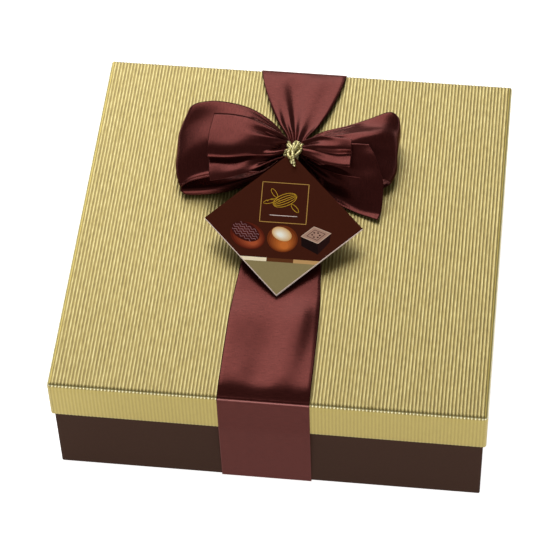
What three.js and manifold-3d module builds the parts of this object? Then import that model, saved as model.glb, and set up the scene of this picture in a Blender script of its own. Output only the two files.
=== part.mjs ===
// A shut gift box of chocolate pralines: a dark base under a gold fluted lid, a satin ribbon round both,
// a bow of the same ribbon held by a twisted gold tie, and a square card that hangs from the tie by one corner.
// Millimetres, +Z up. The origin is the middle of the box's footprint, on the surface that it stands on.
import * as THREE from "three";
import { mergeVertices } from "three/addons/utils/BufferGeometryUtils.js";
import Module from "manifold-3d";

const wasm = await Module();
wasm.setup();

// Driving dimensions
const BOX_SIDE = 190; // the lid is square, measured over the crests of its flutes
const TOP = 60.5; // height of the lid's top face
const LID_HEIGHT = 21.5; // of the lid's skirt, with its top panel
const LID_WALL = 1.25;
const LID_PANEL = 2;
const FIT = 0.15; // clearance between pieces that touch
const FLUTES = 123; // ridges across the lid
const FLUTE_DEPTH = 0.45; // on the top and the two sides along the ridges
const PRESSED_DEPTH = 0.2; // where the ridges turn down over the front and back
const CORNER = 1.6; // radius of the lid's upright edges
const RIBBON = 40; // width of the satin ribbon
const BAND_THICK = 0.35;
const BOW_THICK = 0.6;
const BAND_SHIFT_FRONT = -1.2; // the band lies a little left of the middle,
const BAND_SHIFT_BACK = -3; // and a little askew
const KNOT = { x: -1.4, y: 36, lift: 11.3 }; // centre of the knot, and its height above the lid
const PRESSED = 0.6; // pleats are pressed to this share of their full height
const CORE_RADIUS = 4.2; // of the gathered ribbon inside the tie
const TIE_WIRE = 1.3;
const TIE_TURNS = 5;
const CARD_SIDE = 50;
const CARD_THICK = 1.2;
const CARD_LIFT = 9.6; // height of the card's centre above the lid
const CARD_PLACE = [-1.9, -4.6];
const CARD_TURN = [12.8, 0.9, 0.8]; // degrees: raised at the knot, raised at the left, turned
const CARD_HOLE = { radius: 1.9, inset: 5.5 }; // for the tie, on the diagonal

const PITCH = BOX_SIDE / FLUTES;
const HALF = BOX_SIDE / 2;
const BASE_FLOOR = BAND_THICK + FIT; // the ribbon passes under the base
const RIM = TOP - LID_HEIGHT;
const BASE_HALF = HALF - LID_WALL - FIT;

const PAINT = {
  gold_paper: { color: 0xc8b174, roughness: 0.42, metalness: 0.35 },
  brown_board: { color: 0x41302a, roughness: 0.6, metalness: 0 },
  satin: { color: 0x6b3230, roughness: 0.45, metalness: 0 },
  gold_wire: { color: 0xd2bf78, roughness: 0.3, metalness: 0.8 },
  card: { color: 0x3a1c10, roughness: 0.5, metalness: 0 },
};

const mesh = (name, geometry, paint) => {
  const made = new THREE.Mesh(geometry, new THREE.MeshStandardMaterial(PAINT[paint]));
  made.name = name;
  return made;
};

// A three.js geometry as a solid, and a solid back as a geometry.
function solid(geometry) {
  const bare = new THREE.BufferGeometry();
  bare.setAttribute("position", geometry.getAttribute("position").clone());
  if (geometry.index) bare.setIndex(geometry.index.clone());
  const merged = mergeVertices(bare, 1e-4);
  return new wasm.Manifold(
    new wasm.Mesh({
      numProp: 3,
      vertProperties: new Float32Array(merged.attributes.position.array),
      triVerts: new Uint32Array(merged.index.array),
    }),
  );
}

// Pockets that folds close off are filled, and only the main piece is kept.
function whole(body) {
  return body.decompose().reduce((best, piece) => (piece.volume() > best.volume() ? piece : best));
}

function geometryOf(body) {
  const { vertProperties, triVerts } = body.getMesh();
  return new THREE.BufferGeometry()
    .setAttribute("position", new THREE.BufferAttribute(vertProperties, 3))
    .setIndex(new THREE.BufferAttribute(triVerts, 1));
}

function block(width, depth, low, high) {
  const made = new THREE.BoxGeometry(width, depth, high - low);
  return made.translate(0, 0, (low + high) / 2);
}

// The ridges seen end on: [place along the face, depth below the crests] from -half to half.
function ridges(half, depth) {
  const count = Math.round((2 * half) / PITCH);
  const step = (2 * half) / count;
  const points = [];
  for (let i = 0; i < count; i++) {
    const left = -half + i * step;
    points.push([left, depth], [left + 0.36 * step, 0], [left + 0.64 * step, 0]);
  }
  return points;
}

// The lid's section across the ridges, extruded from front to back: ridges on the top and on both sides.
function lidAcross() {
  const outline = new THREE.Shape();
  const side = ridges((LID_HEIGHT - 1) / 2, FLUTE_DEPTH);
  const middle = (RIM + TOP - 0.2) / 2;
  outline.moveTo(-HALF, RIM);
  side.forEach(([s, d]) => outline.lineTo(-HALF + d, middle + s));
  outline.lineTo(-HALF + CORNER / 4, TOP);
  ridges(HALF - CORNER, FLUTE_DEPTH).forEach(([s, d]) => outline.lineTo(s, TOP - d));
  outline.lineTo(HALF - CORNER / 4, TOP);
  side.reverse().forEach(([s, d]) => outline.lineTo(HALF - d, middle + s));
  outline.lineTo(HALF, RIM);
  const made = new THREE.ExtrudeGeometry(outline, { depth: BOX_SIDE + 2, bevelEnabled: false });
  return made.rotateX(Math.PI / 2).translate(0, HALF + 1, 0);
}

// The lid seen from above, extruded upwards: pressed ridges on the front and back, round upright edges.
function lidDown() {
  const outline = new THREE.Shape();
  const face = ridges(HALF - CORNER, PRESSED_DEPTH);
  const inner = HALF - CORNER;
  outline.moveTo(-inner, -HALF);
  face.forEach(([s, d]) => outline.lineTo(s, -HALF + d));
  outline.lineTo(inner, -HALF);
  outline.absarc(inner, -inner, CORNER, -Math.PI / 2, 0);
  outline.absarc(inner, inner, CORNER, 0, Math.PI / 2);
  face.reverse().forEach(([s, d]) => outline.lineTo(s, HALF - d));
  outline.lineTo(-inner, HALF);
  outline.absarc(-inner, inner, CORNER, Math.PI / 2, Math.PI);
  outline.absarc(-inner, -inner, CORNER, Math.PI, 1.5 * Math.PI);
  const made = new THREE.ExtrudeGeometry(outline, {
    depth: LID_HEIGHT + 2,
    bevelEnabled: false,
    curveSegments: 4,
  });
  return made.translate(0, 0, RIM);
}

function lid() {
  const hollow = block(2 * (HALF - LID_WALL), 2 * (HALF - LID_WALL), RIM - 1, TOP - LID_PANEL);
  const body = solid(lidAcross()).intersect(solid(lidDown())).subtract(solid(hollow));
  return mesh("lid", geometryOf(body), "gold_paper");
}

// The shut base can't be seen into, so it is solid up to the lid's panel.
function base() {
  const made = block(2 * BASE_HALF, 2 * BASE_HALF, BASE_FLOOR, TOP - LID_PANEL - FIT);
  return mesh("base", made, "brown_board");
}

// Smooth curve through values, which are numbers or points, at s from 0 to 1.
function along(values, s, closed = false) {
  const points = values.map((v) => (Array.isArray(v) ? new THREE.Vector3(...v) : new THREE.Vector3(v, 0, 0)));
  const curve = new THREE.CatmullRomCurve3(points, closed, "catmullrom", 0.5);
  return curve.getPoint(s);
}

// How far pleats stand out, so that a ribbon of full width fits between two edges that are closer together.
function pleatHeight(apart, crown, pleats) {
  const arched = apart * (1 + (8 / 3) * (crown / apart) ** 2);
  const slack = Math.max(0, (RIBBON / arched) ** 2 - 1);
  return PRESSED * (apart / (4.4 * pleats)) * Math.sqrt(slack);
}

// A strip of ribbon through stations. Each gives its front edge, its back edge, how far it arches between them,
// and the depth of a lengthwise crease. Heights are measured from the lid's top.
function strip({ stations, rows, columns, thick, pleats, phase = 0, crease = 0.45, closed = false }) {
  const front = stations.map((s) => s.front);
  const back = stations.map((s) => s.back);
  const crown = stations.map((s) => s.crown ?? 0);
  const fold = stations.map((s) => s.fold ?? 0);
  const rest = thick / 2 + FIT;
  const grid = [];
  const place = (s) => {
    const a = along(front, s, closed);
    const b = along(back, s, closed);
    return { a, b, middle: a.clone().add(b).multiplyScalar(0.5) };
  };
  for (let i = 0; i <= rows; i++) {
    const s = i / rows;
    const { a, b } = place(s);
    const before = place(Math.max(0, s - 0.01)).middle;
    const after = place(Math.min(1, s + 0.01)).middle;
    const across = b.clone().sub(a);
    const normal = after.sub(before).cross(across).normalize();
    const arch = along(crown, s, closed).x;
    const depth = along(fold, s, closed).x;
    const height = pleatHeight(across.length(), arch, pleats);
    const row = [];
    for (let j = 0; j <= columns; j++) {
      const t = j / columns;
      const out =
        arch * (1 - (2 * t - 1) ** 2) +
        height * Math.sin(2 * Math.PI * (pleats * t + phase)) -
        depth * Math.exp(-(((t - crease) / 0.13) ** 2));
      const p = a.clone().addScaledVector(across, t).addScaledVector(normal, out);
      p.z = Math.max(p.z, rest);
      row.push(p);
    }
    grid.push(row);
  }
  return shell(grid, thick, closed);
}

// A closed sheet of the given thickness on both sides of a grid of points.
function shell(grid, thick, closed = false) {
  const rows = closed ? grid.length - 1 : grid.length;
  const columns = grid[0].length;
  const at = (i, j) => grid[closed ? (i + rows) % rows : Math.min(rows - 1, Math.max(0, i))][
    Math.min(columns - 1, Math.max(0, j))
  ];
  const positions = [];
  for (const side of [1, -1])
    for (let i = 0; i < rows; i++)
      for (let j = 0; j < columns; j++) {
        const down = at(i + 1, j).clone().sub(at(i - 1, j));
        const over = at(i, j + 1).clone().sub(at(i, j - 1));
        const normal = down.cross(over).normalize();
        const p = at(i, j).clone().addScaledVector(normal, (side * thick) / 2);
        positions.push(p.x, p.y, p.z + TOP);
      }
  const id = (side, i, j) => side * rows * columns + (i % rows) * columns + j;
  const faces = [];
  const quad = (a, b, c, d) => faces.push(a, b, c, a, c, d);
  const last = closed ? rows : rows - 1;
  for (let i = 0; i < last; i++) {
    for (let j = 0; j < columns - 1; j++) {
      quad(id(0, i, j), id(0, i + 1, j), id(0, i + 1, j + 1), id(0, i, j + 1));
      quad(id(1, i, j), id(1, i, j + 1), id(1, i + 1, j + 1), id(1, i + 1, j));
    }
    quad(id(0, i, 0), id(1, i, 0), id(1, i + 1, 0), id(0, i + 1, 0));
    const e = columns - 1;
    quad(id(0, i, e), id(0, i + 1, e), id(1, i + 1, e), id(1, i, e));
  }
  if (!closed)
    for (let j = 0; j < columns - 1; j++) {
      quad(id(0, 0, j), id(0, 0, j + 1), id(1, 0, j + 1), id(1, 0, j));
      const e = rows - 1;
      quad(id(0, e, j), id(1, e, j), id(1, e, j + 1), id(0, e, j + 1));
    }
  return new THREE.BufferGeometry()
    .setAttribute("position", new THREE.Float32BufferAttribute(positions, 3))
    .setIndex(faces);
}

// The bow's strips, outwards from the knot. Places are [x, y, height above the lid].
const LEFT_LOOP = [
  { front: [-3, 32.2, 12.6], back: [-3, 39.8, 13] },
  { front: [-14, 27, 13], back: [-12.5, 48.5, 14.5], crown: 1 },
  { front: [-27, 21.5, 12], back: [-26, 55, 18], crown: 3 },
  { front: [-41, 18, 9.5], back: [-40, 57, 18], crown: 2.5 },
  { front: [-50, 15.5, 7], back: [-49.5, 55.5, 14.5], crown: 1 },
  { front: [-53, 15, 3.8], back: [-54, 54.5, 9] },
  { front: [-50, 14.5, 1.2], back: [-50, 54, 3.5] },
  { front: [-35, 19.5, 0.9], back: [-34, 53, 1.8] },
  { front: [-18, 25.5, 2], back: [-17, 47, 3.5] },
  { front: [-3, 32.2, 9.8], back: [-3, 39.8, 10] },
];
const RIGHT_LOOP = [
  { front: [0, 32.2, 12.6], back: [0, 39.8, 12.6] },
  { front: [13, 33.5, 14.5], back: [12, 48.5, 10.5], crown: 2 },
  { front: [28, 37, 18.5], back: [26, 59, 8.5], crown: 5 },
  { front: [40, 39, 19.5], back: [38, 67, 6], crown: 5 },
  { front: [45, 37, 15], back: [42.5, 69.5, 4.2], crown: 4 },
  { front: [45.5, 33, 8.5], back: [43, 70, 3], crown: 2 },
  { front: [41.5, 30, 2.5], back: [40, 69, 1.4] },
  { front: [27, 28, 1.2], back: [26, 60, 1] },
  { front: [13, 30, 2.5], back: [12, 48, 2.5] },
  { front: [0, 32.2, 9.8], back: [0, 39.8, 10] },
];
const LEFT_END = [
  { front: [-3, 32.2, 13.4], back: [-3, 39.8, 13.8] },
  { front: [-14, 26, 16], back: [-13, 45, 18], crown: 1.5, fold: 1.5 },
  { front: [-27, 20, 15.5], back: [-27, 46, 22.5], crown: 3.5, fold: 4 },
  { front: [-38, 17, 12.5], back: [-41.5, 43, 21.5], crown: 4, fold: 5 },
];
const RIGHT_END = [
  { front: [0, 32.2, 13.4], back: [0, 39.8, 13.8] },
  { front: [12, 28, 15.5], back: [12, 42, 16.5], crown: 1.5 },
  { front: [25, 25.5, 17], back: [24, 44, 21], crown: 3, fold: 3 },
];
const TAIL = [
  { front: [0, 32, 9.6], back: [0, 39.6, 9.6] },
  { front: [9, 23, 4.5], back: [13, 42, 6.5], crown: 0.5 },
  { front: [23, 13.5, 2.2], back: [24, 47, 6.5], crown: 1.5 },
  { front: [39.7, 7.5, 1.2], back: [32, 47, 7], crown: 1 },
];

// The gathered middle of the bow, thin where the tie grips it and wider on both sides of the tie.
function knotCore() {
  const profile = [
    [0, -9],
    [3, -8],
    [4.8, -5.2],
    [CORE_RADIUS - 0.02, -4.2],
    [CORE_RADIUS - 0.02, 4.2],
    [4.8, 5.2],
    [3, 8],
    [0, 9],
  ].map(([r, x]) => new THREE.Vector2(r, x));
  const made = new THREE.LatheGeometry(profile, 16);
  return made.rotateZ(-Math.PI / 2).translate(KNOT.x, KNOT.y, TOP + KNOT.lift);
}

function bow() {
  const common = { thick: BOW_THICK, columns: 12 };
  const strips = [
    strip({ ...common, stations: LEFT_LOOP, rows: 24, pleats: 3 }),
    strip({ ...common, stations: RIGHT_LOOP, rows: 24, pleats: 3, phase: 0.3 }),
    strip({ ...common, stations: LEFT_END, rows: 9, pleats: 3, phase: 0.1 }),
    strip({ ...common, stations: RIGHT_END, rows: 7, pleats: 3, phase: 0.4 }),
    strip({ ...common, stations: TAIL, rows: 10, pleats: 3, phase: 0.2 }),
  ];
  const grip = new THREE.BoxGeometry(8, 40, 60).translate(KNOT.x, KNOT.y, TOP + KNOT.lift);
  const under = KNOT.lift - CORE_RADIUS + FIT;
  const notch = new THREE.BoxGeometry(15, 2, under).translate(KNOT.x - 1, KNOT.y, TOP + under / 2);
  const loose = strips.map(solid).reduce((all, s) => all.add(s));
  const body = loose.subtract(solid(grip)).add(solid(knotCore())).subtract(solid(notch));
  return mesh("bow", geometryOf(whole(body)), "satin");
}

// The band on the lid's top at a place from front to back: how wide it is, and how far it stands off the lid.
function bandTop(y) {
  const widths = [40, 40, 39.8, 39.4, 38.6, 36, 24, 8.5, 8.5, 19, 29, 37, 40];
  const rises = [0, 1.3, 0.2, 1.2, 0.1, 0.2, 0.6, 1.4, 1.4, 0.6, 0.8, 0.4, 0];
  const places = [-95, -84, -68, -52, -38, -22, 8, KNOT.y - 4, KNOT.y + 4, 52, 68, 84, 95];
  const i = Math.max(1, places.findIndex((p) => p >= y - 1e-9));
  const s = (y - places[i - 1]) / (places[i] - places[i - 1]);
  const ease = s * s * (3 - 2 * s);
  const width = THREE.MathUtils.lerp(widths[i - 1], widths[i], ease);
  return { width, rise: THREE.MathUtils.lerp(rises[i - 1], rises[i], ease) };
}

// The whole band as rows across it: over the top to the back, down, under the base, and up the front.
function bandRows() {
  const skin = FIT + BAND_THICK / 2;
  const rows = [];
  const row = (y, lift, up, width = RIBBON, flat = true) => rows.push({ y, lift, up, width, flat });
  const corner = (y, lift, start) => {
    for (let k = 0; k < 3; k++) {
      const turn = start + (k * Math.PI) / 4;
      const out = [Math.sin(turn), Math.cos(turn)];
      row(y + skin * out[0], lift + skin * out[1], out);
    }
  };
  const steps = 30;
  for (let i = 1; i < steps; i++) {
    const y = THREE.MathUtils.lerp(-HALF, HALF, i / steps);
    const { width, rise } = bandTop(y);
    row(y, skin + rise, [0, 1], width, false);
  }
  corner(HALF, 0, 0);
  row(HALF + skin, RIM - TOP, [1, 0]);
  corner(BASE_HALF, BASE_FLOOR - TOP, Math.PI / 2);
  for (const y of [BASE_HALF - 2, 2 - BASE_HALF]) row(y, BASE_FLOOR - TOP - skin, [0, -1]);
  corner(-BASE_HALF, BASE_FLOOR - TOP, Math.PI);
  row(-HALF - skin, RIM - TOP, [-1, 0]);
  corner(-HALF, 0, -Math.PI / 2);
  return rows;
}

function band() {
  const columns = 12;
  const pleats = 3;
  const grid = bandRows().map(({ y, lift, up, width, flat }) => {
    const shift = THREE.MathUtils.mapLinear(y, -HALF, HALF, BAND_SHIFT_FRONT, BAND_SHIFT_BACK);
    const height = flat ? 0 : pleatHeight(width, 0, pleats);
    const row = [];
    for (let j = 0; j <= columns; j++) {
      const t = j / columns;
      const out = height * (1 + Math.sin(2 * Math.PI * pleats * t));
      row.push(new THREE.Vector3(shift + width * (0.5 - t), y + out * up[0], lift + out * up[1]));
    }
    return row;
  });
  return mesh("ribbon_band", shell([...grid, grid[0]], BAND_THICK, true), "satin");
}

// One turn of the tie's wire: a ring that faces along x, or along y. A square one fits round a flat bundle.
function ring(reachAcross, reachUp, centre, facing, square = 1) {
  const bow = (v) => Math.sign(v) * Math.abs(v) ** (1 / square);
  const made = new THREE.TorusGeometry(1, 0.5, 5, 14);
  const bend = made.getAttribute("position");
  for (let i = 0; i < bend.count; i++) {
    const p = new THREE.Vector3().fromBufferAttribute(bend, i);
    const round = Math.atan2(p.y, p.x);
    const out = (Math.hypot(p.x, p.y) - 1) * TIE_WIRE;
    const x = bow(Math.cos(round)) * (reachAcross + out);
    bend.setXYZ(i, x, bow(Math.sin(round)) * (reachUp + out), p.z * TIE_WIRE);
  }
  made.rotateX(Math.PI / 2);
  if (facing === "x") made.rotateZ(Math.PI / 2);
  return made.translate(...centre);
}

// A short piece of wire through points, [x, y, height above the lid].
function wire(points, steps) {
  const route = new THREE.CatmullRomCurve3(points.map(([x, y, z]) => new THREE.Vector3(x, y, z + TOP)));
  const section = new THREE.Shape().absarc(0, 0, TIE_WIRE / 2, 0, 2 * Math.PI);
  return new THREE.ExtrudeGeometry(section, { extrudePath: route, steps, curveSegments: 3 });
}

function tie() {
  const reach = CORE_RADIUS + FIT + TIE_WIRE / 2;
  const height = TOP + KNOT.lift;
  const parts = [];
  for (let i = 0; i < TIE_TURNS; i++) {
    const x = KNOT.x + (i - (TIE_TURNS - 1) / 2) * TIE_WIRE * 1.02;
    const uneven = 0.12 * Math.sin(5 * i);
    parts.push(ring(reach + uneven, reach + uneven, [x, KNOT.y, height], "x"));
  }
  const low = FIT + TIE_WIRE / 2;
  const high = KNOT.lift - reach;
  parts.push(ring(6.4, (high - low) / 2, [KNOT.x - 1, KNOT.y, TOP + (high + low) / 2], "y", 2));
  const top = KNOT.lift + reach;
  parts.push(
    wire([[-2.8, 36, top], [-2.4, 31, 18.9], [-2, 26, 18], [-1.9, 24.3, 15.4], [-2, 26, 12.4], [-2.2, 30.6, 11.6]], 11),
    wire([[0.2, 37, top], [0.6, 33, top + 1.2], [2.6, 29.5, top - 0.6], [3, 27.4, top - 1.4]], 6),
    wire([[-4, 36, top], [-4.6, 32.4, top + 0.4], [-5.6, 29.6, top - 1], [-6, 27.6, top - 1.8]], 6),
  );
  const body = parts.map(solid).reduce((all, s) => all.add(s));
  return mesh("gold_tie", geometryOf(body), "gold_wire");
}

function card() {
  const outline = new THREE.Shape();
  const half = CARD_SIDE / 2;
  outline.moveTo(-half, -half).lineTo(half, -half).lineTo(half, half).lineTo(-half, half);
  const hole = half - CARD_HOLE.inset * Math.SQRT1_2;
  outline.holes.push(new THREE.Path().absarc(hole, hole, CARD_HOLE.radius, 0, 2 * Math.PI));
  const made = new THREE.ExtrudeGeometry(outline, { depth: CARD_THICK, bevelEnabled: false });
  made.translate(0, 0, -CARD_THICK / 2).rotateZ(Math.PI / 4);
  const [pitch, roll, spin] = CARD_TURN.map(THREE.MathUtils.degToRad);
  made.rotateX(pitch).rotateY(roll).rotateZ(spin);
  return mesh("card", made.translate(...CARD_PLACE, TOP + CARD_LIFT), "card");
}

const giftBox = new THREE.Group();
giftBox.name = "praline_gift_box";
giftBox.add(base(), lid(), band(), bow(), tie(), card());

export default giftBox;
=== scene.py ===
"""The looks of a shut gift box of pralines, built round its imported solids.

A dark base stands under a fluted gold lid. A satin ribbon goes round both, and a bow of the same ribbon is
held by a twisted gold tie, which also holds a printed card by one corner. Lengths are in millimetres until
a mesh is made, and heights in the bow and the tie are above the lid's top.
"""

import math

import bpy
import numpy as np
from mathutils import Matrix, Vector


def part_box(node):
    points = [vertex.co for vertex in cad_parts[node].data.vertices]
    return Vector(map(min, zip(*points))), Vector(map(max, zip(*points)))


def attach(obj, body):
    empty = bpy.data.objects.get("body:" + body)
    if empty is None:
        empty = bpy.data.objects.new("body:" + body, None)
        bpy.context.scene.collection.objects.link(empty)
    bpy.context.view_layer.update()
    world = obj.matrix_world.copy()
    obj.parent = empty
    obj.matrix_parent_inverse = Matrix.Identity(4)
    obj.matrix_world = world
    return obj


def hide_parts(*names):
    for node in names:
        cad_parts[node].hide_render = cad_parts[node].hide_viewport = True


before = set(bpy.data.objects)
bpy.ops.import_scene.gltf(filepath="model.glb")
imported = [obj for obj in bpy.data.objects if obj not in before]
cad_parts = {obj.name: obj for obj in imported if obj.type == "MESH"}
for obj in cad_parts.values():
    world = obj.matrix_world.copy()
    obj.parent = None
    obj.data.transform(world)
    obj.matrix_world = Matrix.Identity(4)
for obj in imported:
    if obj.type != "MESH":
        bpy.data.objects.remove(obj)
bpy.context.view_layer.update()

MM = 0.001
TURN = 2 * np.pi


def box_in_mm(solid):
    """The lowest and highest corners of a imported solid."""
    return [[round(value / MM, 2) for value in corner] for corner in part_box(solid)]


# Sizes of the lid and the base

LID_LOW, LID_HIGH = box_in_mm("lid")
BASE_LOW, BASE_HIGH = box_in_mm("base")
HALF = LID_HIGH[0]
TOP = LID_HIGH[2]
RIM = LID_LOW[2]
BASE_HALF = BASE_HIGH[0]
BASE_FLOOR = BASE_LOW[2]
BASE_TOP = TOP - 3
BASE_ROUND = 0.7

FOLD = 1.3  # radius of the fold round the lid's top
UPRIGHT = 1.5  # radius of the lid's upright edges
RIM_TURN = [(1.2, RIM + 3), (1.2, RIM), (0.3, RIM), (0, RIM + 0.3)]  # depth inside the face, and height
FRONT_PAPER_TOP = TOP - 1.2

FLUTES = 123
PITCH = 2 * HALF / FLUTES
COLUMNS_PER_FLUTE = 8
TOP_FLUTE = 0.11
FRONT_FLUTE = 0.1
FOLD_FLUTE = 0.23
SIDE_FLUTE = 0.3
SIDE_FLUTES = 13
SIDE_LOW = RIM + 0.8
SIDE_HIGH = TOP - FOLD - 0.3
SIDE_PITCH = (SIDE_HIGH - SIDE_LOW) / SIDE_FLUTES

# Sizes of the ribbon, the knot and the card

RIBBON = 40.0
CLOTH = 0.22
BOW_COLUMNS = 61
BAND_COLUMNS = 81
LOWEST = 0.35  # of the bow's cloth, above the lid
HIGHEST_PLEAT = 1.7
BAND_GAP = 0.33  # from the board to the middle of the band's cloth
BAND_FRONT_X = -1.15
BAND_BACK_X = -3
KNOT = np.array([-1.4, 36.0, 11.3])
KNOT_HALF = 8
WIRE = 0.7
CARD_SIDE = 50
CARD_REACH = CARD_SIDE / 2 * math.sqrt(2)
CARD_THICK = 1.2
CARD_MIDDLE = (-1.9, -4.6, TOP + 9.6)
CARD_TURNS = ((0.8, "Z"), (0.9, "Y"), (12.8, "X"))
INK = 0.02


# Shapes


def link(mesh, name, paint):
    """The object for a mesh, fixed to the box's one body."""
    piece = bpy.data.objects.new(name, mesh)
    bpy.context.scene.collection.objects.link(piece)
    mesh.materials.append(paint)
    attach(piece, "root")
    return piece


def grid_piece(name, points, paint, closed=False):
    """A mesh through a grid of points, with its UVs in centimetres along the rows and columns."""
    rows, columns, _ = points.shape
    index = np.arange(rows * columns).reshape(rows, columns)
    down = np.linalg.norm(np.diff(points, axis=0), axis=2).mean(axis=1)
    over = np.linalg.norm(np.diff(points, axis=1), axis=2).mean(axis=0)
    u = np.concatenate([[0], np.cumsum(down)])
    v = np.concatenate([[0], np.cumsum(over)])
    if closed:
        index = np.vstack([index, index[:1]])
        u = np.append(u, u[-1] + down[-1])
    uu, vv = np.meshgrid(u, v, indexing="ij")
    first, last = slice(None, -1), slice(1, None)
    corners = [(first, first), (last, first), (last, last), (first, last)]
    quads = np.stack([index[corner] for corner in corners], axis=-1).reshape(-1, 4)
    flat = np.stack([np.stack([uu[corner], vv[corner]], axis=-1) for corner in corners], axis=2)
    mesh = bpy.data.meshes.new(name)
    mesh.from_pydata((points.reshape(-1, 3) * MM).tolist(), [], quads.tolist())
    uv = mesh.uv_layers.new(name="flat")
    uv.data.foreach_set("uv", flat.reshape(-1).astype(np.float32) / 10)
    mesh.polygons.foreach_set("use_smooth", [True] * len(mesh.polygons))
    mesh.update()
    return link(mesh, name, paint)


def smooth_through(values, count):
    """Catmull-Rom through values along axis 0, at count even places."""
    values = np.asarray(values, float)
    last = len(values) - 1
    padded = np.concatenate([[2 * values[0] - values[1]], values, [2 * values[-1] - values[-2]]])
    at = np.linspace(0, last, count)
    i = np.minimum(at.astype(int), last - 1)
    t = (at - i).reshape((-1,) + (1,) * (values.ndim - 1))
    a, b, c, d = (padded[i + k] for k in range(4))
    curve = 2 * b + (c - a) * t
    curve += (2 * a - 5 * b + 4 * c - d) * t**2
    curve += (3 * b - a - 3 * c + d) * t**3
    return 0.5 * curve


def unit(vectors):
    """Vectors of length 1 with the same directions."""
    return vectors / np.linalg.norm(vectors, axis=-1, keepdims=True)


def distances(points):
    """How far along a path each of its points lies."""
    steps = np.linalg.norm(np.diff(points, axis=0), axis=1)
    return np.concatenate([[0], np.cumsum(steps)])


def normals(points):
    """The direction in which a grid of points faces, at each of them."""
    facing = np.cross(np.gradient(points, axis=0), np.gradient(points, axis=1))
    return facing / np.maximum(np.linalg.norm(facing, axis=2, keepdims=True), 1e-9)


def lumps(shape, waves, seed):
    """Smooth uneven values from about -1 to 1 over a grid, with up to that many waves along each axis."""
    made = np.zeros(shape)
    local = np.random.default_rng(seed)
    u = np.linspace(0, 1, shape[0])[:, None]
    v = np.linspace(0, 1, shape[1])[None, :]
    layers = 7
    for _ in range(layers):
        ku, kv = local.uniform(0.4, 1, 2) * waves
        sign = local.choice([-1, 1])
        made += np.sin(TURN * (ku * u + sign * kv * v) + local.uniform(0, 6.3))
    return made / (layers / 2)


# The lid and the base


def flute(along, pitch):
    """How far the fluted paper is below its crests at places along it, from 0 to 1."""
    return 0.5 - 0.5 * np.cos(TURN * along / pitch)


def upright_section():
    """The lid's front face from inside its rim up to the fold, as pairs of y and height."""
    rim = [(inset - HALF, z) for inset, z in RIM_TURN]
    return rim + [(-HALF, z) for z in np.linspace(RIM + 1, TOP - FOLD - 0.8, 7)]


def fold_section():
    """The fold between the lid's front face and its top."""
    bends = np.linspace(0, np.pi / 2, 6)
    return [(-HALF + FOLD - FOLD * math.cos(a), TOP - FOLD + FOLD * math.sin(a)) for a in bends]


def lid_section(upright, fold):
    """The lid's whole section, up the front, over the top and down the back."""
    front = np.array(upright + fold)
    y = np.linspace(-HALF + FOLD + 1, HALF - FOLD - 1, 40)
    over = np.stack([y, np.full(len(y), TOP)], axis=1)
    return np.concatenate([front, over, front[::-1] * [-1, 1]])


def flute_depths(section, upright_count, fold_count):
    """Depth of the flutes along the lid's section: none at its rims, and deepest on its folds."""
    on_top = np.clip((section[:, 1] - (TOP - FOLD)) / FOLD, 0, 1)
    depth = FRONT_FLUTE + (TOP_FLUTE - FRONT_FLUTE) * on_top
    fold_end = upright_count + fold_count - 1
    depth[upright_count:fold_end] = FOLD_FLUTE
    depth[-fold_end:-upright_count] = FOLD_FLUTE
    depth[:3] = 0
    depth[-3:] = 0
    return depth


def lid(top_paper, front_paper, side_paper):
    """The fluted lid, with one sheet of paper over its front, top and back, and one on each side."""
    upright = upright_section()
    fold = fold_section()
    section = lid_section(upright, fold)
    along = unit(np.gradient(section, axis=0))
    outward = np.stack([-along[:, 1], along[:, 0]], axis=1)
    inner = HALF - UPRIGHT
    x = np.linspace(-inner, inner, FLUTES * COLUMNS_PER_FLUTE + 1)
    shape = (len(section), len(x))
    depth = flute_depths(section, len(upright), len(fold))
    sunk = flute(x, PITCH)[None, :] * depth[:, None] * (1 + 0.08 * lumps(shape, waves=14, seed=3))
    grid = np.zeros((*shape, 3))
    grid[..., 0] = x[None, :] + 0.03 * lumps(shape, waves=9, seed=4)
    grid[..., 1] = section[:, None, 0] - sunk * outward[:, None, 0]
    grid[..., 2] = section[:, None, 1] - sunk * outward[:, None, 1]
    main = grid_piece("lid_top", grid, top_paper)
    main.data.materials.append(front_paper)
    centres = np.empty(3 * len(main.data.polygons))
    main.data.polygons.foreach_get("center", centres)
    below_fold = centres[2::3] < FRONT_PAPER_TOP * MM
    main.data.polygons.foreach_set("material_index", below_fold.astype(np.int32))
    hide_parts("lid")
    for sign, name in ((-1, "lid_left"), (1, "lid_right")):
        grid_piece(name, lid_side(sign), side_paper)


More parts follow.
